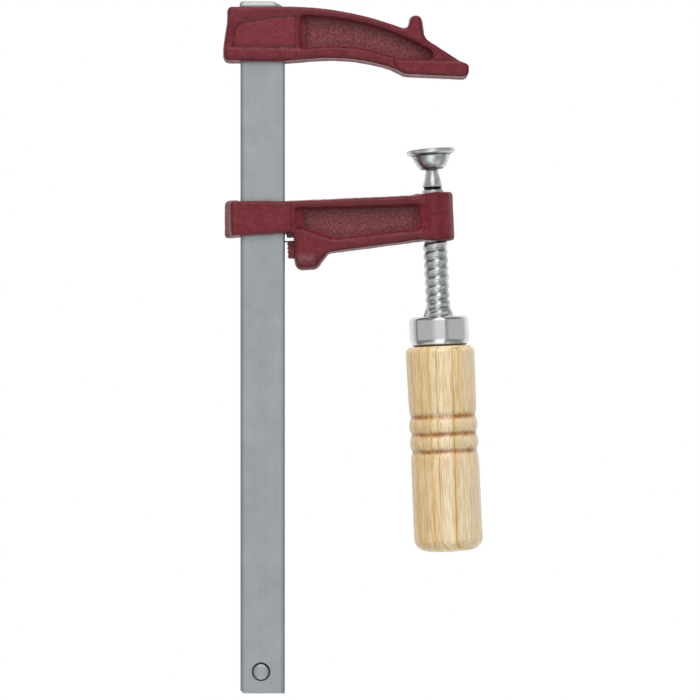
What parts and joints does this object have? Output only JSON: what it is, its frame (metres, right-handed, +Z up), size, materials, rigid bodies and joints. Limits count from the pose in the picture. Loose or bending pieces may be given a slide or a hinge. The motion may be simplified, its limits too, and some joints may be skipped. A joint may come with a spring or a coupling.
{
  "type": "screw clamp",
  "caption": "Joiner's screw clamp: flat bar with a fixed cast jaw, a sliding cast jaw, and a threaded spindle with swivel pad and wooden handle.",
  "frame": {"origin": "on the fixed jaw's clamping face, on the spindle line of a jaw square to the bar, in the mid-plane of the bar's thickness", "axes": "+Z up along the bar towards the fixed jaw's riveted end, +X from the bar out to the spindle, +Y through the thickness, away from the side that the picture shows"},
  "size_m": [0.1057, 0.028, 0.2815],
  "materials": {
    "bar_steel": "cold-drawn, matt grey",
    "jaw_paint": "dark red paint on a rough casting",
    "spring_steel": "blackened spring steel",
    "zinc_steel": "bright zinc plate",
    "ferrule_chrome": "polished",
    "handle_wood": "turned beech, oiled, with three burnt grooves"
  },
  "bodies": {
    "frame": {"bar": "bar_steel", "stop_pin": "bar_steel", "fixed_jaw": "jaw_paint"},
    "spring": {"friction_spring": "spring_steel"},
    "sliding_arm": {"sliding_jaw": "jaw_paint"},
    "pad_ring": {"pad_retaining_ring": "spring_steel"},
    "screw": {"spindle": "zinc_steel", "ferrule": "ferrule_chrome", "handle": "handle_wood"},
    "pad": {"swivel_pad": "zinc_steel"}
  },
  "joints": [
    {"name": "arm_slide", "type": "slide", "parent": "frame", "child": "spring", "axis": [0, 0, -1], "range_m": [0, 0.1725]},
    {"name": "arm_tilt", "type": "hinge", "parent": "spring", "child": "sliding_arm", "pos_m": [-0.0785, 0, -0.053], "axis": [0, 1, 0], "range_deg": [0, 3.1]},
    {"name": "spindle_feed", "type": "slide", "parent": "sliding_arm", "child": "pad_ring", "axis": [-0.0454, 0, 0.999], "range_m": [-0.007, 0.0245]},
    {"name": "spindle_turn", "type": "hinge", "parent": "pad_ring", "child": "screw", "pos_m": [-0.00078, 0, -0.03405], "axis": [-0.0454, 0, 0.999], "range_deg": [-720, 2520]},
    {"name": "pad_tilt", "type": "hinge", "parent": "pad_ring", "child": "pad", "pos_m": [-0.00078, 0, -0.03405], "axis": [0, 1, 0], "range_deg": [-6, 10]}
  ],
  "couplings": [
    {"joint": "spindle_feed", "follows": "spindle_turn", "m_per_rad": 0.00055704}
  ]
}
